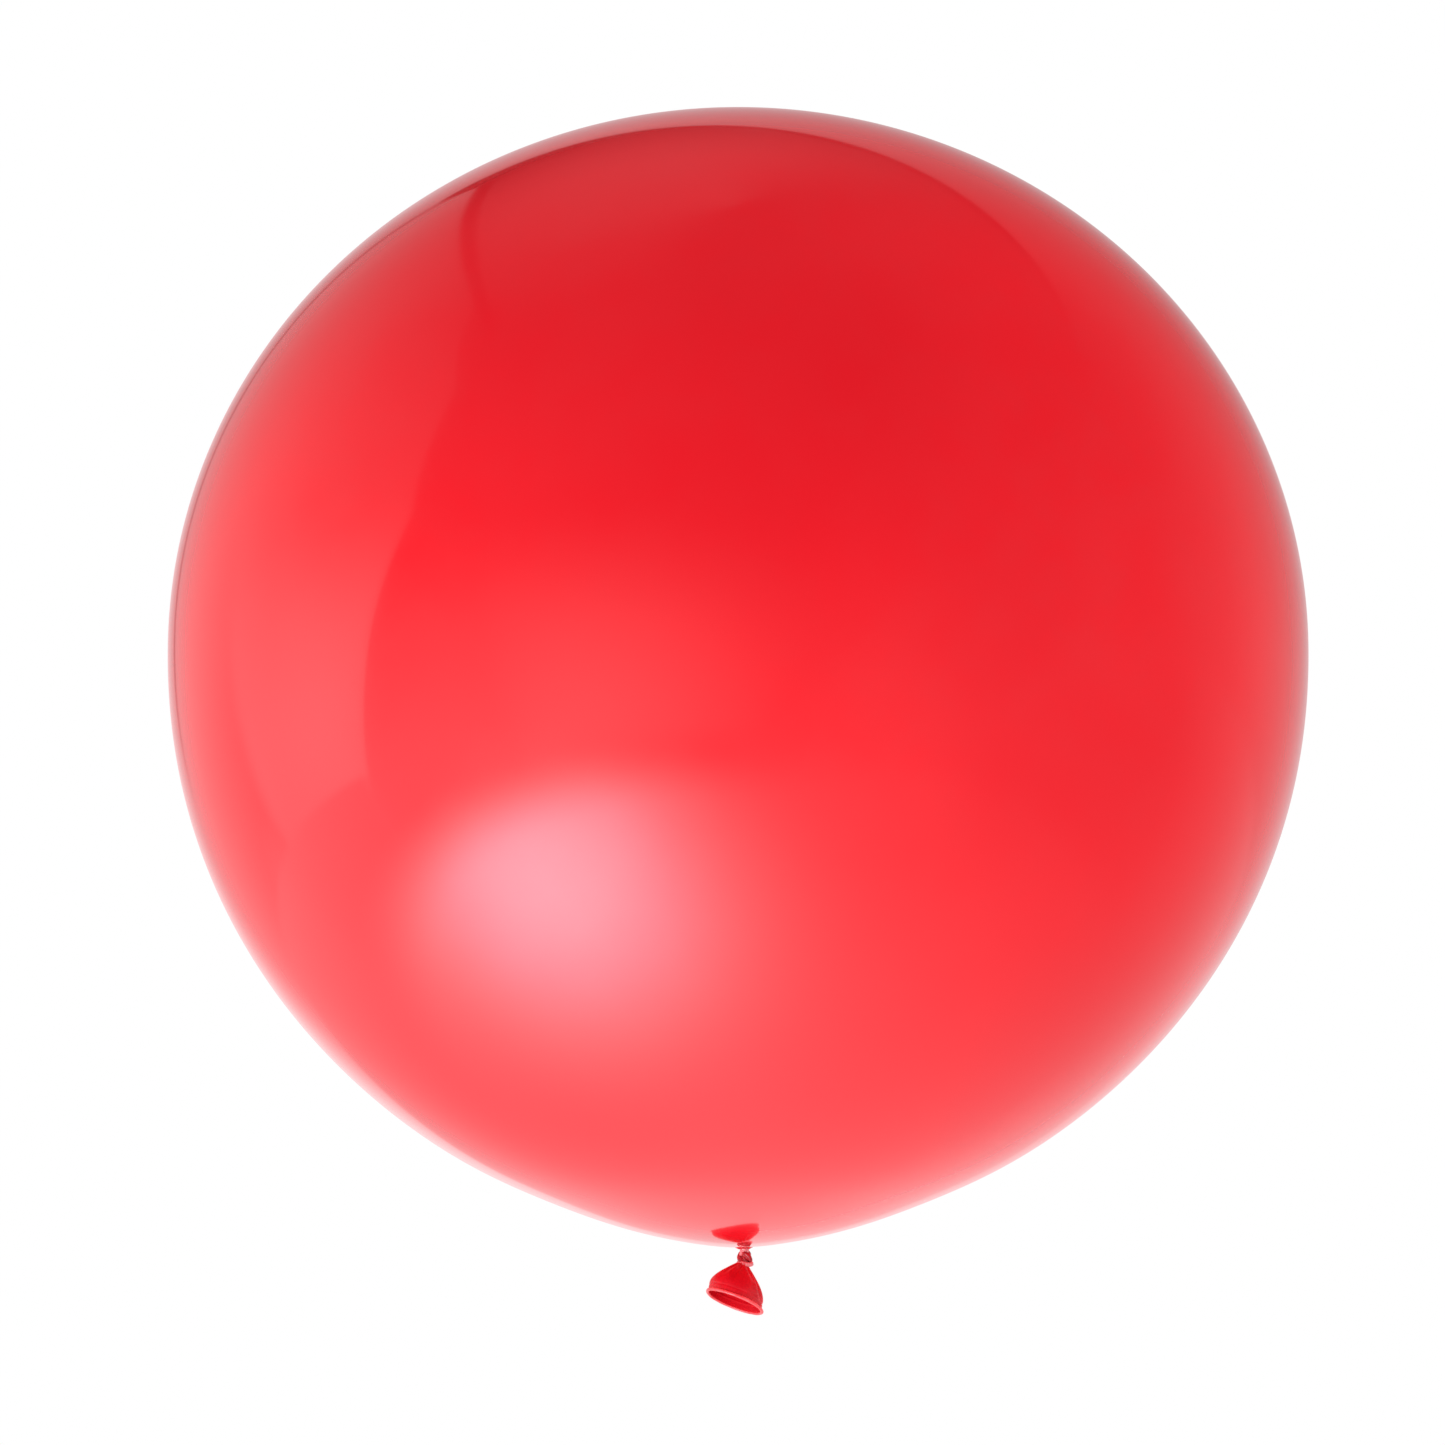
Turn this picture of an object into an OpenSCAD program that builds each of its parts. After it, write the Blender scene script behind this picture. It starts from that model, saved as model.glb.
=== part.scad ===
// Round latex balloon, inflated and tied off with an overhand knot in its own neck.
// Origin: the tie groove, in the middle of the pinched neck between the body and the knot.
// +Z runs up the neck to the crown. The front of the object faces -Y. Millimetres.

/* [Body] */
// Width of the inflated body
body_w = 900; // [600:10:1000]
// Height of the body above its widest level
crown_h = 433; // [400:0.5:460]
// Depth of the body below its widest level, before the neck draws it down
base_h = 467; // [440:1:520]
// How far the neck draws the body's tip down
neck_dip = 1.8; // [0:0.2:20]
// Reach of that pull round the neck
neck_dip_r = 50; // [40:1:160]
// Wall that stands in for the stretched film, which is far thinner
skin = 1; // [0.8:0.1:2]
// How far the tied neck sits beside the body's own axis
neck_offset = 5; // [0:1:8]

/* [Neck] */
// Width of the pinched neck
neck_w = 8.4; // [7:0.2:9]
// Width of the thick dish of gathered latex round the neck
gather_w = 30; // [26:1:44]
// Height of the body's tip above the tie groove
body_gap = 2.5; // [2.5:0.5:8]

/* [Knot] */
// Width of the knot's core
knot_w = 12.6; // [12:0.1:13.4]
// Thickness of the strand that wraps the core
wrap_w = 4.2; // [3.6:0.1:4.4]
// Depth of the knot's centre below the tie groove
knot_drop = 7.4; // [6.8:0.1:7.8]

/* [Tail] */
// Inner width of the mouth
mouth_w = 43.4; // [36:0.2:48]
// Length of the tail from the knot's centre to its end
tail_len = 36; // [30:0.5:44]
// Wall of the unstretched latex
tail_wall = 0.8; // [0.6:0.1:1.2]
// Thickness of the bead rolled round the mouth
bead_w = 2.5; // [1.6:0.1:3]
// Lean of the tail towards the front
lean_front = 17.5; // [0:0.5:25]
// Lean of the tail towards -X
lean_side = 18.5; // [0:0.5:25]

/* [Hidden] */
$fn = 96;

film_red = [0.93, 0.13, 0.16];
thick_red = [0.76, 0.03, 0.07];

body_r = body_w / 2;
widest_z = body_gap + base_h + neck_dip;
// The lower half narrows as body_r * (1 - t^base_p)^base_q, with t from 0 at the widest level to 1 at the tip,
// and round the neck it is drawn down by tip_pull(r).
base_p = 2.087;
base_q = 0.5596;
crown_steps = 32;
base_steps = 40;

run_gap = 0.05;             // running clearance of the neck in the gather
flex_gap = 0.3;             // clearance where the latex flexes
neck_r = neck_w / 2;
gather_r = gather_w / 2;
hub_r = neck_r + 1.4;       // gathered latex close round the neck
hub_low = 1.2;
hub_top = 8;
dish_t = 1.2;
dish_floor_r = 7;

knot_r = knot_w / 2;
wrap_r = wrap_w / 2;
wrap_ring_r = 4.9;          // radius of the wrap's own centre line
wrap_rise = 2.4;            // height of the wrap above the knot's centre
socket_r = neck_r + flex_gap;

cup_r = knot_r + flex_gap;  // hollow at the tail's top, round the knot
cup_t = 1.2;
cup_half_angle = 35;
mouth_r = mouth_w / 2;
hem_len = 6;                // straight wall behind the bead
hem_short = 0.3;            // the hem stops this much short of the bead's centre line
skirt_steps = 18;
bead_r = bead_w / 2;
bead_ring_r = mouth_r + bead_r + run_gap;

// Radius of the lower half at t, for a body that is smaller by inset
function base_radius(t, inset) = (body_r - inset) * pow(max(0, 1 - pow(t, base_p)), base_q);

// How far the neck draws the lower half down at radius r
function tip_pull(r) = neck_dip * exp(-pow(r / neck_dip_r, 2));

// Outline of the body's half section from the crown to the tip, as [radius, height]
function body_outline(inset) = concat(
    [for (i = [0:crown_steps]) let (a = 90 - 90 * i / crown_steps)
        [(body_r - inset) * cos(a), widest_z + (crown_h - inset) * sin(a)]],
    [for (i = [1:base_steps]) let (t = sin(90 * i / base_steps), r = base_radius(t, inset))
        [r, widest_z - (base_h - inset) * t - tip_pull(r)]]);

function reversed(list) = [for (i = [len(list) - 1:-1:0]) list[i]];

// Height of the body's outer face at a small radius from its axis
function base_height(r) =
    widest_z - base_h * pow(1 - pow(r / body_r, 1 / base_q), 1 / base_p) - tip_pull(r);

// Tail's outer radius between the cup and the hem, with u from 0 to 1
function flare(u) = pow(sin(90 * u), 0.9);

module envelope() {
    color(film_red)
    difference() {
        translate([-neck_offset, 0, 0])
            rotate_extrude()
                polygon(concat(body_outline(0), reversed(body_outline(skin))));
        translate([-neck_offset, 0, 0])
            cylinder(h = 4 * hub_top, r = gather_r, center = true);
    }
}

// Shallow dish that closes the body's opening, with a hub that the neck turns in
module neck_gather() {
    rim_z = base_height(gather_r);
    color(thick_red)
    difference() {
        union() {
            translate([-neck_offset, 0, 0])
                rotate_extrude()
                    polygon([
                        [0, hub_low],
                        [dish_floor_r, hub_low],
                        [gather_r, rim_z],
                        [gather_r, rim_z + dish_t],
                        [dish_floor_r, hub_low + dish_t],
                        [0, hub_low + dish_t]]);
            translate([0, 0, hub_low])
                cylinder(h = hub_top - hub_low, r = hub_r);
        }
        cylinder(h = 4 * hub_top, r = neck_r + run_gap, center = true);
    }
}

module neck_stem() {
    head_t = 1;
    color(thick_red) {
        sphere(r = neck_r);
        cylinder(h = hub_top + 2 * flex_gap, r = neck_r);
        translate([0, 0, hub_top + flex_gap])
            cylinder(h = head_t, r = hub_r);
    }
}

module ring(ring_r, strand_r) {
    rotate_extrude()
        translate([ring_r, 0])
            circle(r = strand_r);
}

module knot_wrap() {
    color(thick_red)
    translate([0, 0, wrap_rise - knot_drop])
        ring(wrap_ring_r, wrap_r);
}

module knot_core() {
    color(thick_red)
    difference() {
        translate([0, 0, -knot_drop])
            sphere(r = knot_r);
        sphere(r = socket_r);
        knot_wrap();
    }
}

// Places the tail, which is drawn hanging straight down from the origin, on the knot
module on_tail_axis() {
    translate([0, 0, -knot_drop])
        rotate([-lean_front, 0, 0])
            rotate([0, lean_side, 0])
                children();
}

module bead_ring() {
    translate([0, 0, -tail_len])
        ring(bead_ring_r, bead_r);
}

// Half section of the tail: the cup over the knot, the flared skirt and the straight hem
module tail_section() {
    top = [(cup_r + cup_t) * sin(cup_half_angle + 3), (cup_r + cup_t) * cos(cup_half_angle + 3)];
    hem_top = tail_len - hem_len;
    hem_r = mouth_r + tail_wall;
    outer = [for (i = [0:skirt_steps]) let (u = i / skirt_steps)
        [top[0] + (hem_r - top[0]) * flare(u), -top[1] - (hem_top - top[1]) * u]];
    inner = [for (i = [skirt_steps:-1:2]) let (u = i / skirt_steps)
        [top[0] + (mouth_r - top[0]) * flare(u), -top[1] - (hem_top - top[1]) * u]];
    cup = [for (i = [0:8]) let (a = cup_half_angle * i / 8)
        [cup_r * sin(a), -cup_r * cos(a)]];
    polygon(concat(
        cup,
        outer,
        [[hem_r, hem_short - tail_len], [mouth_r, hem_short - tail_len]],
        inner,
        [[0, -cup_r - cup_t]]));
}

module tail_skirt() {
    color(thick_red)
    on_tail_axis()
        difference() {
            rotate_extrude()
                tail_section();
            bead_ring();
        }
}

module lip_bead() {
    color(thick_red)
    on_tail_axis()
        bead_ring();
}

envelope();
neck_gather();
neck_stem();
knot_core();
knot_wrap();
tail_skirt();
lip_bead();
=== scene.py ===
"""Looks of the round latex balloon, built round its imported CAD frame.

Metres; the origin is the tie groove.
"""

import math

import bpy
import numpy as np
from mathutils import Matrix, Vector


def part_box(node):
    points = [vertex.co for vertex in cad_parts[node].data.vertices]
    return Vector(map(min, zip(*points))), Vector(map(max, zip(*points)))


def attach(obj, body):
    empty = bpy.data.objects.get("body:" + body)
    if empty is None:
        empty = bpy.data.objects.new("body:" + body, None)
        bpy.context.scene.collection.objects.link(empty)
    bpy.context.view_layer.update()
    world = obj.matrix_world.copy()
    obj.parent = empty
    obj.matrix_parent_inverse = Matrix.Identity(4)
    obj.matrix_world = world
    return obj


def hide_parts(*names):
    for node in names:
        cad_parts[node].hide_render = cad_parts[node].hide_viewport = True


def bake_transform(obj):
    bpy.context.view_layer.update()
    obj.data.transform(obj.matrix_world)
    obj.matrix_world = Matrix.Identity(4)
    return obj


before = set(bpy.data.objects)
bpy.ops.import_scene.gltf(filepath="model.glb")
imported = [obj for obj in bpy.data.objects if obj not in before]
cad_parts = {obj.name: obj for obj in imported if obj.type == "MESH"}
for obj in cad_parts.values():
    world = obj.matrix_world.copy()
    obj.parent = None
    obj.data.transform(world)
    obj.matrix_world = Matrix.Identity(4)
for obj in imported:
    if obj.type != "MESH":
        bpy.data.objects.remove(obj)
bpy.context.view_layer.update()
scene = bpy.context.scene
scene.view_settings.view_transform = "Standard"
MM = 0.001
DEG = 180 / math.pi

# ---------------------------------------------------------------- the body's outline
film_lo, film_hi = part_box("envelope")
AXIS_X = (film_lo.x + film_hi.x) / 2    # the body's own axis; the neck's is at 0
BODY_R = (film_hi.x - film_lo.x) / 2
CROWN_Z = film_hi.z - 2 * MM
TIP_Z = 2.5 * MM
BASE_H = 467 * MM
NECK_DIP, NECK_DIP_R = 1.8 * MM, 50 * MM
HOLLOW, HOLLOW_R, HOLLOW_WIDTH = 2.0 * MM, 150 * MM, 57 * MM
WIDEST_Z = TIP_Z + BASE_H + NECK_DIP
CROWN_H = CROWN_Z - WIDEST_Z
BASE_P, BASE_Q = 2.087, 0.5596
FILM_T = 1.0 * MM
HOLE_R = 6.0 * MM                       # the film's opening, which the collar covers


def tip_pull(r):
    """How far the lower half of the body hangs below its plain outline at radius r.

    The neck draws the tip down, and the film is a little flatter in a wide ring round it.
    """
    dip = NECK_DIP * math.exp(-((r / NECK_DIP_R) ** 2))
    hollow = HOLLOW * math.exp(-(((r - HOLLOW_R) / HOLLOW_WIDTH) ** 2))
    return dip - hollow


def film_z(r):
    """Height of the film's outer face at distance r from the body's axis, in the lower half."""
    return WIDEST_Z - BASE_H * (1 - (r / BODY_R) ** (1 / BASE_Q)) ** (1 / BASE_P) - tip_pull(r)


# ---------------------------------------------------------------- small helpers
def smooth(x):
    """A smooth step from 0 at 0 to 1 at 1."""
    x = min(1.0, max(0.0, x))
    return x * x * (3 - 2 * x)


def cosd(angle):
    return np.cos(np.radians(angle))


def sind(angle):
    return np.sin(np.radians(angle))


def bump_at(angle, centre, width):
    """A smooth bump round a closed section, 1 at centre; angles in degrees."""
    away = (np.asarray(angle) - centre + 180) % 360 - 180
    return np.exp(-((away / width) ** 2))


def to_metres(points):
    return np.asarray(points, dtype=float) * MM


def add_mesh(name, verts, faces):
    mesh = bpy.data.meshes.new(name)
    mesh.from_pydata([tuple(map(float, v)) for v in verts], [], faces)
    mesh.validate()
    mesh.polygons.foreach_set("use_smooth", [True] * len(mesh.polygons))
    obj = bpy.data.objects.new(name, mesh)
    scene.collection.objects.link(obj)
    return obj


def band_faces(start, end, cols, flip=False):
    """Quads between two rings of vertices, which begin at the numbers start and end."""
    faces = []
    for j in range(cols):
        k = (j + 1) % cols
        quad = (start + j, start + k, end + k, end + j)
        faces.append(quad[::-1] if flip else quad)
    return faces


def grid_faces(rows, cols, first=0, flip=False):
    """Quads over rows of rings that follow each other from the vertex number first."""
    faces = []
    for i in range(rows - 1):
        faces += band_faces(first + i * cols, first + (i + 1) * cols, cols, flip)
    return faces


def loop_faces(rows, cols, flip=False):
    """Quads over rings of which the last one meets the first."""
    return grid_faces(rows, cols, flip=flip) + band_faces((rows - 1) * cols, 0, cols, flip)


def fan_faces(pole, ring, cols, flip=False):
    """Triangles between one vertex and the ring of vertices that begins at the number ring."""
    faces = []
    for j in range(cols):
        triangle = (pole, ring + j, ring + (j + 1) % cols)
        faces.append(triangle[::-1] if flip else triangle)
    return faces


# ---------------------------------------------------------------- camera
VIEW_RISE = 1.5     # degrees by which the camera looks up
ROOM_RISE = 15.0    # the studio is drawn in the axes of a camera that looks up by this many degrees


def make_camera():
    cam = bpy.data.cameras.new("camera")
    obj = bpy.data.objects.new("camera", cam)
    scene.collection.objects.link(obj)
    scene.camera = obj
    rise = math.radians(VIEW_RISE)
    distance = 4.6
    aim = Vector((-0.01726, 0, 0.41715))
    back = Vector((0, -math.cos(rise), -math.sin(rise)))
    obj.location = aim + back * distance
    obj.rotation_mode = "QUATERNION"
    obj.rotation_quaternion = (-back).to_track_quat("-Z", "Y")
    cam.sensor_width = 36
    cam.lens = 144.63
    cam.clip_start, cam.clip_end = 0.05, 200


# ---------------------------------------------------------------- node helpers
class Nodes:
    """A short way to write a shader's node tree. Values may be numbers or other nodes' outputs."""

    def __init__(self, tree):
        self.tree = tree
        tree.nodes.clear()

    def add(self, kind, **settings):
        node = self.tree.nodes.new(kind)
        for key, value in settings.items():
            setattr(node, key, value)
        return node

    def feed(self, socket, value):
        if isinstance(value, bpy.types.NodeSocket):
            self.tree.links.new(value, socket)
        else:
            socket.default_value = value

    def math(self, op, *values):
        node = self.add("ShaderNodeMath", operation=op)
        for socket, value in zip(node.inputs, values):
            self.feed(socket, value)
        return node.outputs[0]

    def total(self, *terms):
        result = terms[0]
        for term in terms[1:]:
            result = self.math("ADD", result, term)
        return result

    def product(self, *factors):
        result = factors[0]
        for factor in factors[1:]:
            result = self.math("MULTIPLY", result, factor)
        return result

    def between(self, share, a, b):
        """a where share is 1, and b where it is 0."""
        return self.total(self.product(a, share), self.product(b, self.math("SUBTRACT", 1.0, share)))

    def step(self, value, low, high, out_low=0.0, out_high=1.0, kind="SMOOTHSTEP"):
        node = self.add("ShaderNodeMapRange", interpolation_type=kind, clamp=True)
        for socket, item in zip(node.inputs, (value, low, high, out_low, out_high)):
            self.feed(socket, item)
        return node.outputs[0]

    def band(self, value, rise_from, rise_to, fall_from, fall_to):
        """1 between rise_to and fall_from, and 0 outside rise_from and fall_to."""
        rise = self.step(value, rise_from, rise_to)
        return self.product(rise, self.step(value, fall_from, fall_to, 1.0, 0.0))

    def noise(self, vector, scale, detail, rough):
        node = self.add("ShaderNodeTexNoise")
        self.feed(node.inputs["Vector"], vector)
        node.inputs["Scale"].default_value = scale
        node.inputs["Detail"].default_value = detail
        node.inputs["Roughness"].default_value = rough
        return node.outputs["Fac"]

    def mix(self, factor, a, b):
        node = self.add("ShaderNodeMix", data_type="RGBA")
        self.feed(node.inputs[0], factor)
        self.feed(node.inputs[6], a)
        self.feed(node.inputs[7], b)
        return node.outputs[2]

    def coordinate(self, kind):
        return self.add("ShaderNodeTexCoord").outputs[kind]

    def studio(self, vector):
        """Turns a direction into the studio's own axes."""
        turn = self.add("ShaderNodeVectorRotate", rotation_type="X_AXIS")
        self.feed(turn.inputs["Vector"], vector)
        turn.inputs["Angle"].default_value = math.radians(ROOM_RISE - VIEW_RISE)
        return turn.outputs[0]

    def split(self, vector):
        node = self.add("ShaderNodeSeparateXYZ")
        self.feed(node.inputs[0], vector)
        return node.outputs

    def reach(self, x, y):
        """Distance from the Z axis."""
        return self.math("SQRT", self.total(self.product(x, x), self.product(y, y)))

    def bump(self, height, distance, strength, normal=None):
        node = self.add("ShaderNodeBump")
        self.feed(node.inputs["Height"], height)
        node.inputs["Distance"].default_value = distance
        node.inputs["Strength"].default_value = strength
        if normal is not None:
            self.feed(node.inputs["Normal"], normal)
        return node.outputs["Normal"]


def new_material(name, kind="ShaderNodeBsdfPrincipled"):
    mat = bpy.data.materials.new(name)
    mat.use_nodes = True
    nodes = Nodes(mat.node_tree)
    shader = nodes.add(kind)
    out = nodes.add("ShaderNodeOutputMaterial")
    nodes.feed(out.inputs[0], shader.outputs[0])
    return mat, nodes, shader


# ---------------------------------------------------------------- materials
def film_material():
    """Stretched latex: glossy, saturated, a little deeper at the crown, where it is thicker."""
    mat, n, shader = new_material("latex_film")
    coord = n.coordinate("Object")
    z = n.split(coord)[2]
    cloud = n.noise(coord, 2.2, 2.0, 0.5)
    fine = n.noise(coord, 26.0, 4.0, 0.6)
    crown = n.step(z, CROWN_Z - 3.5 * MM, CROWN_Z - 0.2 * MM)
    base = n.mix(n.step(cloud, 0.3, 0.7), (0.81, 0.009, 0.018, 1), (0.89, 0.011, 0.021, 1))
    base = n.mix(n.product(fine, 0.10), base, (0.68, 0.007, 0.013, 1))
    base = n.mix(n.product(crown, 0.5), base, (0.42, 0.004, 0.008, 1))
    n.feed(shader.inputs["Base Color"], base)
    n.feed(shader.inputs["Roughness"], n.step(fine, 0.2, 0.8, 0.11, 0.17))
    shader.inputs["IOR"].default_value = 1.5
    shader.inputs["Coat Weight"].default_value = 1.0
    shader.inputs["Coat Roughness"].default_value = 0.03
    shader.inputs["Coat IOR"].default_value = 1.45
    n.feed(shader.inputs["Normal"], n.bump(fine, 0.06 * MM, 0.5))
    return mat


def thick_material(name, base, deep, rough, coat, axis=(0, 0, 1), pale=None, streak=0.35, gloss=0.5):
    """Unstretched latex: opaque, with fine drawn streaks along axis, a soft skin and a little dust."""
    mat, n, shader = new_material(name)
    coord = n.coordinate("Object")
    turn = n.add("ShaderNodeVectorRotate", rotation_type="EULER_XYZ")
    n.feed(turn.inputs["Vector"], coord)
    to_z = Vector(axis).normalized().rotation_difference(Vector((0, 0, 1)))
    turn.inputs["Rotation"].default_value = to_z.to_euler("XYZ")
    stretch = n.add("ShaderNodeVectorMath", operation="MULTIPLY")
    n.feed(stretch.inputs[0], turn.outputs[0])
    stretch.inputs[1].default_value = (1, 1, 0.12)
    drawn = n.noise(stretch.outputs[0], 620.0, 4.0, 0.6)
    cloud = n.noise(coord, 160.0, 3.0, 0.5)
    skin = n.noise(coord, 2400.0, 3.0, 0.6)
    dust = n.step(n.noise(coord, 900.0, 5.0, 0.75), 0.60, 0.78)

    colour = n.mix(n.step(cloud, 0.3, 0.7), base, deep)
    colour = n.mix(n.product(n.step(drawn, 0.42, 0.75), streak), colour, deep)
    # lighter streaks along the drawn lines; with the near-white colours given for the neck and the knot's
    # loop they are painted highlight, elsewhere a real lighter tone
    if pale is not None:
        colour = n.mix(n.product(n.step(drawn, 0.30, 0.52, 1.0, 0.0), 0.35), colour, pale)
    colour = n.mix(n.product(dust, 0.03), colour, (0.85, 0.55, 0.52, 1))
    n.feed(shader.inputs["Base Color"], colour)
    rough_low, rough_high = rough
    roughness = n.math("MULTIPLY_ADD", dust, 0.12, n.step(skin, 0.3, 0.7, rough_low, rough_high))
    n.feed(shader.inputs["Roughness"], roughness)
    shader.inputs["IOR"].default_value = 1.52
    shader.inputs["Specular IOR Level"].default_value = gloss
    shader.inputs["Coat Weight"].default_value = coat
    shader.inputs["Coat Roughness"].default_value = 0.08
    shader.inputs["Coat IOR"].default_value = 1.5
    lines = n.bump(drawn, 0.16 * MM, 0.8)
    n.feed(shader.inputs["Normal"], n.bump(skin, 0.03 * MM, 0.5, lines))
    return mat


# ---------------------------------------------------------------- the film
def film_profile(inset):
    """(r, z) points of the film from the crown down to its opening, moved inwards by inset."""
    rows_up, rows_down = 96, 160
    points = []
    for i in range(1, rows_up + 1):
        a = math.radians(90 - 90 * i / rows_up)
        points.append(((BODY_R - inset) * math.cos(a), WIDEST_Z + (CROWN_H - inset) * math.sin(a)))
    for i in range(1, rows_down + 1):
        t = math.sin(math.radians(90 * i / rows_down))
        r = (BODY_R - inset) * max(0.0, 1 - t ** BASE_P) ** BASE_Q
        if r <= HOLE_R:
            break
        points.append((r, WIDEST_Z - (BASE_H - inset) * t - tip_pull(r)))
    points.append((HOLE_R, film_z(HOLE_R) + inset))
    return points


def pucker(r, a, z):
    """Faint folds that run from the neck into the film, in metres."""
    if z > WIDEST_Z:
        return 0.0
    reach, size = 24 * MM, 0.16 * MM
    fade = math.exp(-((r / reach) ** 1.5))
    folds = math.sin(11 * a + 1.1 * math.sin(2 * a)) + 0.6 * math.sin(17 * a + 2.0) + 0.5 * math.sin(6 * a)
    return size * fade * folds


def make_film():
    """The film's rings centre on the body's axis, and near the opening they move over to the neck's axis."""
    cols = 288
    near_neck, shift_width = 60 * MM, 40 * MM
    verts, faces, last_rings = [], [], []
    for inner, inset in enumerate((0.0, FILM_T)):
        profile = film_profile(inset)
        first = len(verts)
        for r, z in profile:
            low = z < WIDEST_Z and r < near_neck
            centre = AXIS_X * smooth((r - HOLE_R) / shift_width) if low else AXIS_X
            for j in range(cols):
                a = 2 * math.pi * j / cols
                x, y = centre + r * math.cos(a), r * math.sin(a)
                level = film_z(math.hypot(x - AXIS_X, y)) + inset if low else z
                verts.append((x, y, level + pucker(r, a, z)))
        faces += grid_faces(len(profile), cols, first=first, flip=not inner)
        last_rings.append(len(verts) - cols)
        faces += fan_faces(len(verts), first, cols, flip=bool(inner))
        verts.append((AXIS_X, 0, CROWN_Z - inset))
    faces += band_faces(*last_rings, cols)
    obj = add_mesh("balloon_film", verts, faces)
    obj.data.materials.append(film_material())
    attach(obj, "body")
    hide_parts("envelope")


# ---------------------------------------------------------------- the neck, knot and tail, in millimetres
KNOT_Z = -7.4
THROAT_R = 3.7                          # inner radius of the collar
LEAN_FRONT, LEAN_SIDE = 17.5, 18.5      # degrees by which the tail leans to -Y and to -X
TAIL_LEN = 36.0
TAIL_TOP, HEM_TOP = 5.0, 30.0           # distances from the knot to the skin's top and to the straight hem
TAIL_SWAY, TAIL_RISE = 3.5, 1.4         # the mouth's shift to the side and its lift
TAIL_CURL = 2.5                         # degrees by which the mouth turns
MOUTH_R, TAIL_WALL, BEAD_R = 21.7, 0.8, 1.25
front_turn = Matrix.Rotation(math.radians(-LEAN_FRONT), 3, "X")
tail_turn = front_turn @ Matrix.Rotation(math.radians(LEAN_SIDE), 3, "Y")
TAIL_RIGHT = np.array(tail_turn @ Vector((1, 0, 0)))
TAIL_BACK = np.array(tail_turn @ Vector((0, 1, 0)))
TAIL_DOWN = np.array(tail_turn @ Vector((0, 0, -1)))
TAIL_START = np.array((0.0, 0.0, KNOT_Z))
UP = np.array((0.0, 0.0, 1.0))


def tail_frame(along):
    """Centre, right, back and down of the tail's ring at a distance along it; the tail curls a little."""
    share = (along / TAIL_LEN) ** 2
    curl = math.radians(TAIL_CURL) * share
    centre = TAIL_START + TAIL_DOWN * (along - TAIL_RISE * share) + TAIL_RIGHT * TAIL_SWAY * share
    right = TAIL_RIGHT * math.cos(curl) + TAIL_DOWN * math.sin(curl)
    return centre, right, TAIL_BACK, TAIL_DOWN * math.cos(curl) - TAIL_RIGHT * math.sin(curl)


def finish_piece(obj, material, slot, *replaced):
    obj.data.materials.append(material)
    if replaced:
        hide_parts(*replaced)


def make_collar():
    """The thick, unstretched latex where the body closes on the neck, drawn into pleats."""
    cols, rows = 288, 30
    thickness = 0.8
    angle = 360 * np.arange(cols) / cols
    pleats = cosd(13 * angle + 35 * sind(2 * angle)) + 0.5 * cosd(8 * angle + 60) + 0.35 * cosd(21 * angle)
    rim = 9.6 + 0.5 * pleats + 0.6 * cosd(angle - 200)

    def face(lift):
        points = []
        for i in range(rows):
            s = i / (rows - 1)
            r = THROAT_R + (rim - THROAT_R) * s
            turn = np.radians(angle) + 0.25 * (1 - s)
            x, y = r * np.cos(turn), r * np.sin(turn)
            film = np.array([film_z(v * MM) / MM for v in np.hypot(x - AXIS_X / MM, y)])
            funnel = 1.5 * (1 - smooth(s * 1.3)) + 0.15 * (1 - s)
            depth = 0.26 * smooth(1 - s) * (0.35 + 0.65 * math.sin(math.pi * min(1.0, s + 0.25)))
            z = film - funnel - depth * pleats + 0.06 * s
            points += list(zip(x, y, z + lift * (0.6 + 0.4 * (1 - s))))
        return points

    verts = face(0.0) + face(thickness)
    last, inner = (rows - 1) * cols, rows * cols
    faces = grid_faces(rows, cols) + grid_faces(rows, cols, first=inner, flip=True)
    faces += band_faces(last, inner + last, cols) + band_faces(0, inner, cols, flip=True)
    obj = add_mesh("neck_pleats", to_metres(verts), faces)
    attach(obj, "body")
    latex = thick_material("pleat_latex", (0.86, 0.050, 0.065, 1), (0.70, 0.016, 0.026, 1), (0.16, 0.26),
                           coat=0.9)
    finish_piece(obj, latex, "gathered_latex", "neck_gather")


def make_stem():
    """The pinched neck, wrung into twisted folds."""
    cols, rows = 96, 44
    top, bottom = 5.2, -4.2
    twist_per_mm = 26
    angle = 360 * np.arange(cols) / cols
    verts = []
    for z in np.linspace(top, bottom, rows):
        waist = 3.45 + 0.055 * z * z * (1.25 if z > 0 else 0.6)
        twist = twist_per_mm * z
        folds = (0.30 * cosd(6 * (angle + twist)) + 0.16 * cosd(11 * (angle + 0.8 * twist) + 40)
                 - 0.55 * bump_at(angle + twist, 75, 11) - 0.45 * bump_at(angle + twist, 250, 9))
        r = waist + folds
        verts += list(zip(r * cosd(angle), r * sind(angle), np.full(cols, z)))
    faces = grid_faces(rows, cols, flip=True)
    for ring, z in ((0, top), ((rows - 1) * cols, bottom)):
        faces += fan_faces(len(verts), ring, cols)
        verts.append((0, 0, z))
    obj = add_mesh("neck_folds", to_metres(verts), faces)
    # painted highlight: the neck's pale pink base and near-white streak colours stand partly for the bright
    # gloss on it and partly for its thin, stretched latex
    latex = thick_material("stem_latex", (0.95, 0.52, 0.54, 1), (0.86, 0.22, 0.25, 1), (0.16, 0.26), coat=1.0,
                           pale=(0.98, 0.82, 0.82, 1), streak=0.5)
    finish_piece(obj, latex, "pinched_neck", "neck_stem")
    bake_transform(obj)


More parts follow.
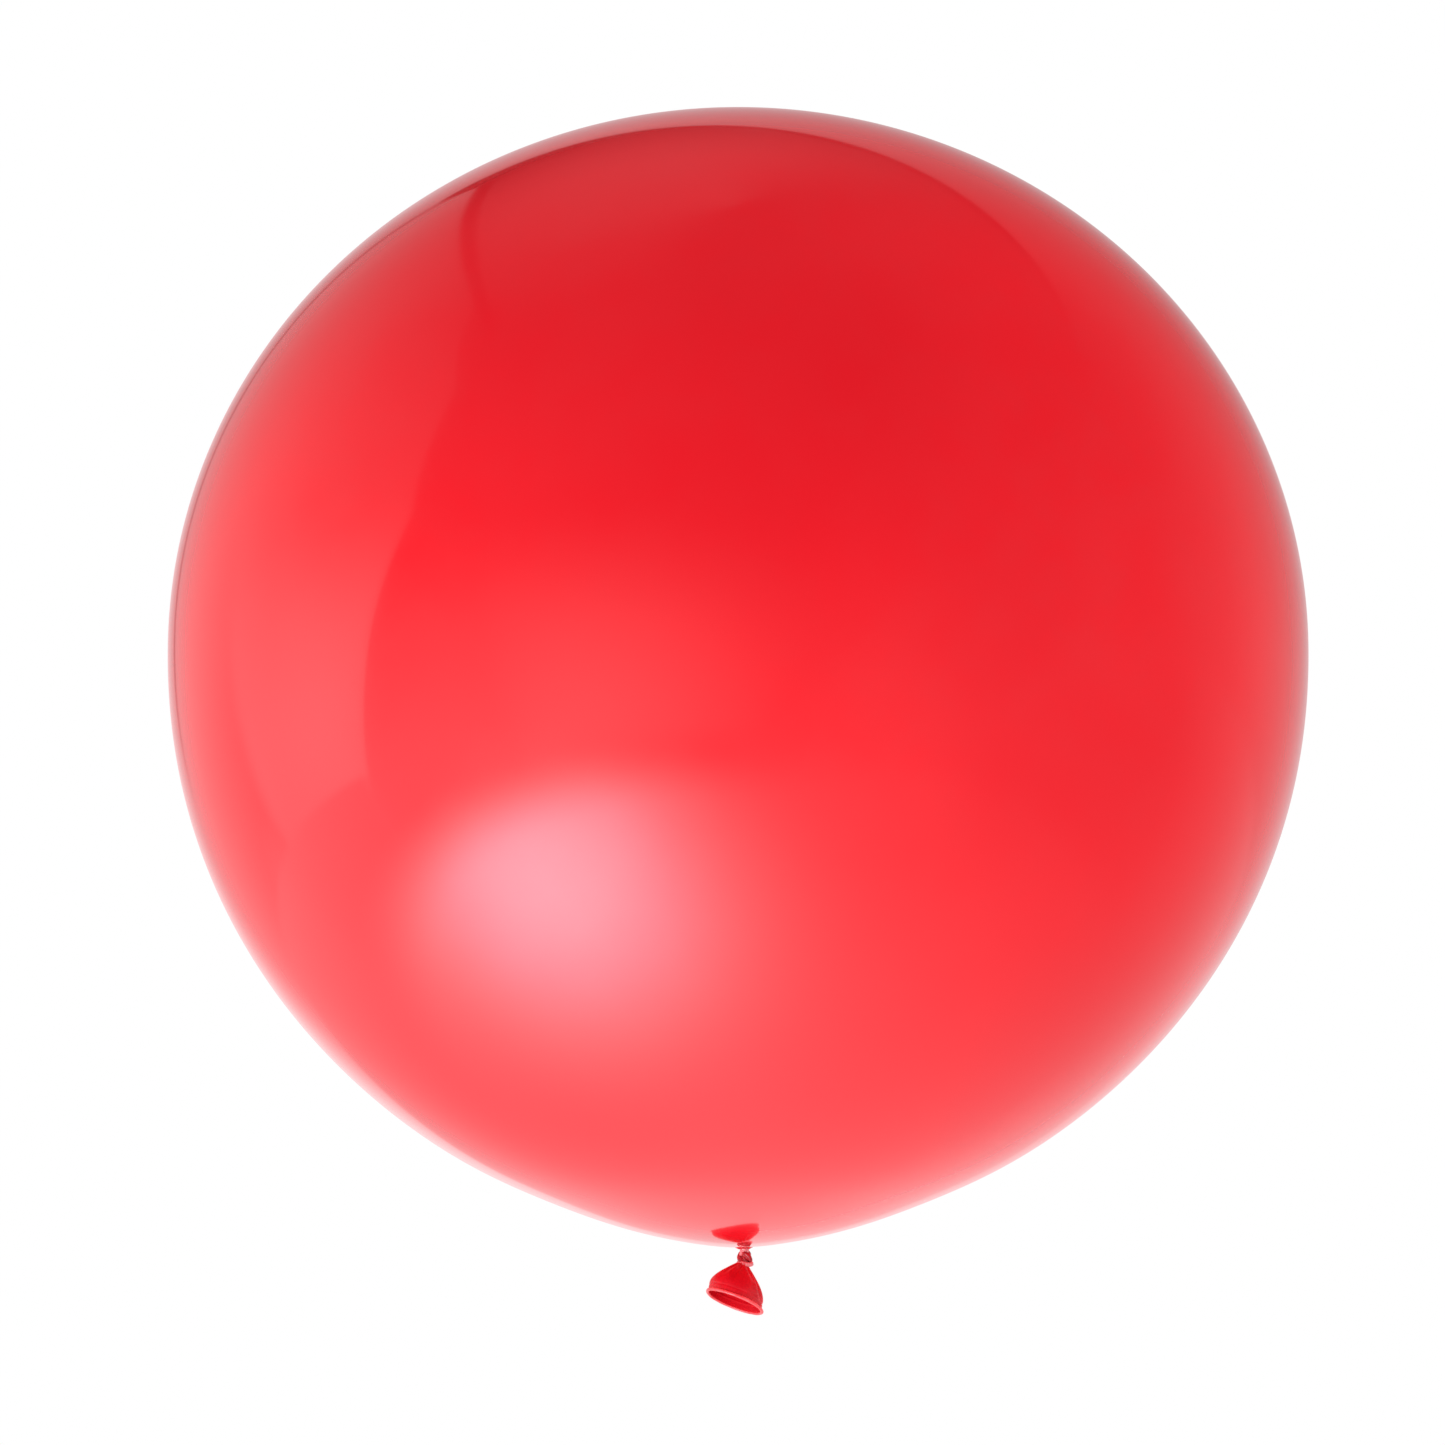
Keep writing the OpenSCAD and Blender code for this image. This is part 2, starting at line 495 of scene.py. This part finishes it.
def make_knot_strand():
    """The neck's own strand, tied: it goes twice round the axis and three times over and under itself."""
    steps, sides = 360, 40
    half_width, half_depth = 2.25, 1.85
    t = 2 * math.pi * np.arange(steps) / steps
    around = 2 * t + math.radians(200)
    ring = 3.15 + 1.45 * np.cos(3 * t)
    height = KNOT_Z + 0.9 - 3.4 * np.sin(3 * t)
    path = np.stack([ring * np.cos(around) + 0.5, ring * np.sin(around), height], axis=1)
    path += np.outer(bump_at(np.degrees(t), 150, 16), (-1.0, -0.4, 0.3))
    ahead = np.roll(path, -1, axis=0) - np.roll(path, 1, axis=0)
    ahead /= np.linalg.norm(ahead, axis=1)[:, None]
    out = np.stack([np.cos(around), np.sin(around), np.zeros(steps)], axis=1)
    out -= ahead * np.sum(out * ahead, axis=1)[:, None]
    out /= np.linalg.norm(out, axis=1)[:, None]
    side = np.cross(ahead, out)
    section = 360 * np.arange(sides) / sides
    verts = []
    for i in range(steps):
        swell = 1 + 0.07 * math.sin(5 * t[i] + 0.6) + 0.05 * math.sin(11 * t[i])
        creases = (1 + 0.055 * cosd(5 * section + 70 * math.sin(2 * t[i]))
                   - 0.14 * bump_at(section, 150 + 60 * math.sin(t[i]), 13)
                   - 0.16 * bump_at(section, 10 + 50 * math.sin(3 * t[i] + 1), 11)
                   - 0.10 * bump_at(section, 255 + 40 * math.cos(2 * t[i]), 10))
        wide = half_width * swell * creases * sind(section)
        deep = half_depth * swell * creases * cosd(section)
        verts += list(path[i] + np.outer(deep, out[i]) + np.outer(wide, side[i]))
    obj = add_mesh("knot_strand", to_metres(verts), loop_faces(steps, sides, flip=True))
    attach(obj, "knot")
    latex = thick_material("strand_latex", (0.46, 0.005, 0.015, 1), (0.26, 0.003, 0.010, 1), (0.14, 0.24),
                           coat=1.0, pale=(0.70, 0.04, 0.06, 1))
    finish_piece(obj, latex, "knot_strand", "knot_wrap")


def make_knot_loop():
    """The tight turn of the strand that the tail comes out of; its pale pink colour is a painted highlight
    band, with some real paling where the latex is stretched along its outer edge.
    """
    cols, sides = 192, 32
    middle = np.array((0.6, -0.6, KNOT_Z - 3.2))
    verts = []
    for j in range(cols):
        a = 2 * math.pi * j / cols
        out = np.array((math.cos(a), math.sin(a), 0.0))
        centre = middle + out * (5.1 + 0.25 * math.sin(3 * a))
        centre[2] += -0.10 * centre[0] + 0.35 * math.sin(2 * a + 0.6)
        for k in range(sides):
            b = 360 * k / sides
            crease = 0.20 * bump_at(b, 8 + 14 * math.sin(2 * a), 12) + 0.12 * bump_at(b, 60, 10)
            r = 1.95 * (1 - crease) * (1 + 0.06 * math.sin(4 * a + 1))
            verts.append(centre + out * (0.8 * r * cosd(b)) + UP * (r * sind(b)))
    obj = add_mesh("knot_loop", to_metres(verts), loop_faces(cols, sides, flip=True))
    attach(obj, "knot")
    # painted highlight: the loop's pale pink base and near-white streaks stand mostly for the bright gloss
    # band on it, and a little for stretched latex
    latex = thick_material("loop_latex", (0.92, 0.40, 0.42, 1), (0.74, 0.07, 0.09, 1), (0.12, 0.22), coat=1.0,
                           pale=(0.97, 0.80, 0.80, 1), streak=0.5)
    finish_piece(obj, latex, "knot_strand")


def make_knot_heart():
    """The crumpled latex that fills the middle of the knot."""
    cols, rows = 96, 48
    centre_x, half_width, half_height = 0.3, 4.3, 5.6
    angle = 360 * np.arange(cols) / cols
    verts = [(centre_x, 0, KNOT_Z + half_height)]
    for i in range(1, rows):
        polar = math.pi * i / rows
        lumps = (1 + 0.07 * cosd(4 * angle + 130 * math.cos(polar))
                 + 0.05 * cosd(7 * angle - 200 * math.cos(polar)))
        r = half_width * math.sin(polar) ** 0.8 * lumps
        z = KNOT_Z + half_height * math.cos(polar) * (1 + 0.04 * cosd(5 * angle) * math.sin(polar))
        verts += list(zip(centre_x + r * cosd(angle), r * sind(angle), z))
    verts.append((centre_x, 0, KNOT_Z - half_height))
    faces = grid_faces(rows - 1, cols, first=1, flip=True)
    faces += fan_faces(0, 1, cols) + fan_faces(len(verts) - 1, 1 + (rows - 2) * cols, cols, flip=True)
    obj = add_mesh("knot_heart", to_metres(verts), faces)
    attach(obj, "knot")
    latex = thick_material("knot_latex", (0.44, 0.006, 0.014, 1), (0.26, 0.003, 0.009, 1), (0.2, 0.3),
                           coat=0.8)
    finish_piece(obj, latex, "knot", "knot_core")


# Place and width in degrees and size in millimetres of each pleat that runs out from the knot
TAIL_PLEATS = ((-104, 7, 2.6), (-64, 9, 1.3), (-150, 12, 1.4), (168, 11, 1.5), (128, 10, 1.2), (84, 12, 1.6),
               (42, 11, 1.3))
# The same for the deep fold on the right, which runs nearly to the mouth: the groove, then its two edges
TAIL_FOLD = ((-23, 9, -3.2), (-38, 8, 1.1), (2, 11, 0.6))


def tail_radius(along, angle, inside):
    """Radius of the tail's skin at a distance along its axis from the knot's centre, with its pleats."""
    top_r = 5.6
    u = min(1.0, max(0.0, (along - TAIL_TOP) / (HEM_TOP - TAIL_TOP)))
    straight = (1 + cosd(angle - 10)) / 2
    swell = np.sin(math.pi / 2 * u) ** (1.12 - 0.10 * straight)
    r = top_r + (MOUTH_R + TAIL_WALL - top_r) * swell
    near_knot = (1 - u) ** 1.4 * min(1.0, 4 * u + 0.25)
    for centre, width, size in TAIL_PLEATS:
        sway = centre + 10 * math.sin(4 * u + centre)
        ridge = bump_at(angle, sway, width * (0.8 + 0.9 * u)) - 0.55 * bump_at(angle, sway + 17, width)
        r = r + near_knot * size * ridge
    fold = math.sin(math.pi * min(1.0, 0.08 + 0.92 * u)) ** 0.6
    for centre, width, size in TAIL_FOLD:
        r = r + size * fold * bump_at(angle, centre, width)
    r = r - 0.28 * math.exp(-((along - HEM_TOP) / 0.9) ** 2)
    r = r + 0.12 * cosd(3 * angle + 40) * u
    return r - (TAIL_WALL if inside else 0.0)


def make_tail():
    """The flared length of neck below the knot, with its outer and inner faces."""
    cols = 288
    angle = 360 * np.arange(cols) / cols
    levels = list(np.linspace(TAIL_TOP, TAIL_LEN - 0.2, 96))
    verts, faces, last_rings, face_counts = [], [], [], []
    for inside in (False, True):
        rows = levels[3:] if inside else levels
        first = len(verts)
        for along in rows:
            r = tail_radius(along, angle, inside)
            centre, right, back, _ = tail_frame(along)
            verts += list(centre + np.outer(r * cosd(angle), right) + np.outer(r * sind(angle), back))
        faces += grid_faces(len(rows), cols, first=first, flip=not inside)
        last_rings.append(len(verts) - cols)
        faces += fan_faces(len(verts), first, cols, flip=inside)
        verts.append(tail_frame(rows[0])[0])
        face_counts.append(len(faces))
    faces += band_faces(*last_rings, cols, flip=True)
    obj = add_mesh("tail_flare", to_metres(verts), faces)
    axis = tuple(TAIL_DOWN)
    outer_latex = thick_material("tail_latex", (0.60, 0.004, 0.014, 1), (0.54, 0.003, 0.012, 1), (0.34, 0.48),
                                 coat=0.05, axis=axis, gloss=0.25)
    inner_latex = thick_material("tail_inside", (0.66, 0.004, 0.014, 1), (0.60, 0.003, 0.012, 1), (0.45, 0.6),
                                 coat=0.0, axis=axis, gloss=0.2)
    finish_piece(obj, outer_latex, "tail_latex", "tail_skirt")
    obj.data.materials.append(inner_latex)
    for face in obj.data.polygons[face_counts[0]:]:
        face.material_index = 1
    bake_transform(obj)


def make_lip():
    """The rolled bead round the mouth: the sheet's edge turns over itself, so a groove runs round it."""
    cols, sides = 288, 28
    ring_r = MOUTH_R + BEAD_R + 0.05
    mouth, right, back, down = tail_frame(TAIL_LEN)
    verts = []
    for j in range(cols):
        a = 2 * math.pi * j / cols
        out = right * math.cos(a) + back * math.sin(a)
        uneven = 1 + 0.045 * math.sin(5 * a + 1) + 0.03 * math.sin(13 * a)
        centre = mouth + down * 0.12 * math.sin(3 * a + 0.5) + out * (ring_r + 0.10 * math.sin(4 * a))
        for k in range(sides):
            b = 360 * k / sides
            roll = 0.17 * bump_at(b, 214 + 8 * math.sin(2 * a), 12) + 0.06 * bump_at(b, 60, 22)
            r = BEAD_R * uneven * (1 - roll)
            verts.append(centre + out * (r * cosd(b)) + down * (r * sind(b)))
    obj = add_mesh("rolled_lip", to_metres(verts), loop_faces(cols, sides))
    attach(obj, "tail")
    latex = thick_material("lip_latex", (0.94, 0.105, 0.115, 1), (0.86, 0.055, 0.066, 1), (0.26, 0.36),
                           coat=0.6, streak=0.2)
    finish_piece(obj, latex, "rolled_lip", "lip_bead")


# ---------------------------------------------------------------- stage
def reflected_room(n):
    """Brightness of the photo tent in the gloss, and the shares of the round light and the backdrop.

    It is drawn by azimuth (0 away from the camera, 90 right) and height, both in degrees.
    """
    coord = n.studio(n.coordinate("Object"))
    x, y, z = n.split(coord)
    azimuth = n.product(n.math("ARCTAN2", x, y), DEG)
    height = n.product(n.math("ARCTAN2", z, n.reach(x, y)), DEG)
    direction = n.add("ShaderNodeVectorMath", operation="NORMALIZE")
    n.feed(direction.inputs[0], coord)

    def away_from(centre):
        """Degrees of azimuth between here and centre, either way round."""
        return n.math("ABSOLUTE", n.math("WRAP", n.math("SUBTRACT", azimuth, centre), 180.0, -180.0))

    def wall_top(centre):
        """Height of the level top edge of an upright wall that is nearest at the azimuth centre."""
        swing = n.product(n.math("SUBTRACT", azimuth, centre), 1 / DEG)
        rise = n.product(n.math("COSINE", swing), 1.73)
        return n.product(n.math("ARCTANGENT", rise), DEG)

    # lower half: the tent's floor, brighter underneath and towards the back and the left
    down = n.math("MAXIMUM", n.math("SINE", n.product(height, -1 / DEG)), 0.0)
    fade = n.math("SUBTRACT", 1.0, n.product(down, down))
    floor = n.math("MULTIPLY_ADD", n.math("POWER", down, 3.0), 0.5, 0.13)
    back = n.step(azimuth, -10, 90, 0.50, 0.03)
    left = n.step(azimuth, -85, -40, 0.18, 0.0)
    front = n.step(azimuth, -178, -140)
    corner_shade = n.step(away_from(-28.0), 0, 30, 0.62, 1.0)
    low = n.total(floor, n.product(n.total(back, left), front, corner_shade, fade))

    # the round light, low in front on the left
    dot = n.add("ShaderNodeVectorMath", operation="DOT_PRODUCT")
    n.feed(dot.inputs[0], direction.outputs[0])
    n.feed(dot.inputs[1], (-0.558, -0.356, -0.750))
    glow = n.math("EXPONENT", n.product(n.math("SUBTRACT", dot.outputs["Value"], 1.0), 8.1))
    glow = n.product(glow, 4.4, n.step(height, -41, -25, 1.0, 0.0))

    # two upright walls with level top edges, which meet in a corner behind the balloon
    corner = n.total(n.math("MULTIPLY_ADD", n.math("SUBTRACT", 45.0, height), 0.15, azimuth), 22.0)
    on_right = n.step(corner, -2.0, 2.0)
    below_top = n.math("SUBTRACT", n.between(on_right, wall_top(36.0), wall_top(-72.0)), height)
    left_edge = n.total(azimuth, n.step(height, -20, 20, 95.0, 115.5, kind="LINEAR"),
                        n.step(height, 42, 66, 0.0, -26.0, kind="LINEAR"))
    left_wall = n.product(n.step(height, 8, 62, 0.46, 0.13), n.step(azimuth, -112, -60, 0.6, 1.0),
                          n.step(left_edge, 0.0, 2.5))
    panel = n.product(n.step(azimuth, -66, -60, 1.0, 0.0), n.step(height, -8, 26, 1.0, 0.0),
                      n.step(azimuth, -95, -62, 0.85, 0.29), n.step(left_edge, 0.0, 1.5))
    right_wall = n.product(n.step(height, -6, 52, 1.0, 0.34), n.step(azimuth, -15, 50, 0.86, 0.31),
                           n.step(azimuth, 40, 100, 1.0, 0.08), n.step(azimuth, -32, -8, 0.55, 1.0))
    wall = n.product(n.between(on_right, right_wall, n.total(left_wall, panel)), n.step(below_top, 0.0, 1.2))

    # the soft light in front, brightest above the round light and fading upwards
    beside = n.product(n.band(azimuth, -160, -135, -60, -20), 0.82)
    spread = n.math("MAXIMUM", n.step(away_from(-145.0), 0, 52, 1.0, 0.18), beside)
    soft = n.product(spread, n.step(height, -24, 20, 0.86, 0.04))
    ceiling = n.product(n.step(height, 42, 76, 0.01, 0.09), n.step(height, -10, 10),
                        n.step(away_from(-50.0), 20, 120, 1.45, 0.4))
    above = n.math("MAXIMUM", n.math("MAXIMUM", wall, soft), ceiling)

    # thin dark frames along the walls' top edges and in the corner
    frame_top = n.product(n.band(below_top, -1.4, -0.4, 0.4, 1.4), n.band(azimuth, -118, -110, 90, 102))
    frame_corner = n.product(n.band(corner, -1.6, -0.3, 0.3, 1.6), n.step(height, 8, 16),
                             n.step(below_top, -0.5, 0.5))
    dark = n.math("MAXIMUM", frame_top, n.product(frame_corner, 0.7))
    above = n.product(above, n.math("MULTIPLY_ADD", dark, -0.75, 1.0))

    # the walls end in a crisp lower edge; in front the floor's light takes over softly
    bottom = n.math("MULTIPLY_ADD", n.total(azimuth, 95.0), 0.13, -16.5)
    crisp = n.band(azimuth, -98, -92, 60, 100)
    hard = n.step(n.math("SUBTRACT", height, bottom), -0.8, 0.8)
    gentle = n.step(height, -32, -24)
    both = n.between(n.between(crisp, hard, gentle), above, low)
    behind = n.step(away_from(0.0), 10, 62, 1.0, 0.0)
    return n.total(both, glow), glow, behind


def make_reflections():
    """Two spheres round the studio, one just outside the other, that show only in the latex's gloss."""
    verts, faces = [], []
    for radius, rows, cols in ((12.0, 24, 48), (12.6, 23, 47)):
        first = len(verts)
        for i in range(rows + 1):
            polar = math.pi * i / rows
            ring_r, z = radius * math.sin(polar), radius * math.cos(polar)
            for j in range(cols):
                turn = 2 * math.pi * j / cols
                verts.append((ring_r * math.cos(turn), ring_r * math.sin(turn), z))
        faces += grid_faces(rows + 1, cols, first=first)
    obj = add_mesh("studio_reflections", verts, faces)
    mat, n, emit = new_material("studio_reflections", "ShaderNodeEmission")
    mat.cycles.emission_sampling = "NONE"
    strength, glow, behind = reflected_room(n)
    n.feed(emit.inputs["Strength"], strength)
    # the backdrop right behind the balloon catches red light from it; the round light is a little cool
    colour = n.mix(behind, (1, 1, 1, 1), (1.42, 1.0, 1.02, 1))
    n.feed(emit.inputs["Color"], n.mix(n.step(glow, 0.2, 3.0), colour, (0.96, 0.98, 1.13, 1)))
    obj.data.materials.append(mat)
    obj.visible_camera = False
    obj.visible_diffuse = False
    obj.visible_transmission = False
    obj.visible_volume_scatter = False
    obj.visible_shadow = False


def make_floor():
    """An evenly lit floor that fades into the white background."""
    z, half = -1.2, 60
    corners = [(-half, -half, z), (half, -half, z), (half, half, z), (-half, half, z)]
    floor = add_mesh("floor", corners, [(0, 1, 2, 3)])
    mat, n, emit = new_material("floor", "ShaderNodeEmission")
    x, y, _ = n.split(n.coordinate("Object"))
    n.feed(emit.inputs["Strength"], n.step(n.reach(x, y), 2.0, 9.0, 0.87, 1.0))
    floor.data.materials.append(mat)
    floor.visible_glossy = False


def make_world():
    """White where the camera sees it; as a light it is brighter from behind and weaker from above."""
    world = bpy.data.worlds.new("world")
    scene.world = world
    world.use_nodes = True
    n = Nodes(world.node_tree)
    x, y, z = n.split(n.studio(n.coordinate("Generated")))
    side = n.math("MULTIPLY_ADD", y, 1.9, n.math("MULTIPLY_ADD", x, 0.12, 2.33))
    light = n.product(side, n.step(z, 0.25, 1.0, 1.0, 0.42))
    seen = n.add("ShaderNodeLightPath").outputs["Is Camera Ray"]
    back = n.add("ShaderNodeBackground")
    n.feed(back.inputs["Strength"], n.step(seen, 0.0, 1.0, light, 1.0, kind="LINEAR"))
    back.inputs["Color"].default_value = (1, 1, 1, 1)
    out = n.add("ShaderNodeOutputWorld")
    n.feed(out.inputs[0], back.outputs[0])
    world.cycles_visibility.glossy = False


def add_light(name, place, aim, size, watts):
    """A round soft light that doesn't show in the gloss."""
    data = bpy.data.lights.new(name, "AREA")
    data.shape = "DISK"
    data.size = size
    data.energy = watts
    obj = bpy.data.objects.new(name, data)
    scene.collection.objects.link(obj)
    obj.location = place
    obj.rotation_mode = "QUATERNION"
    obj.rotation_quaternion = (Vector(aim) - Vector(place)).to_track_quat("-Z", "Y")
    obj.visible_glossy = False


make_camera()
make_reflections()
make_floor()
make_world()
add_light("key", (-1.05, -1.23, -0.55), (0, 0, 0.4), 1.2, 18)
add_light("under", (0.5, 1.5, -0.6), (0.1, 0, 0.1), 1.2, 60)
add_light("fill", (1.2, -2.44, -0.41), (0, 0, 0.4), 1.6, 8)
make_film()
make_collar()
make_stem()
make_knot_strand()
make_knot_loop()
make_knot_heart()
make_tail()
make_lip()
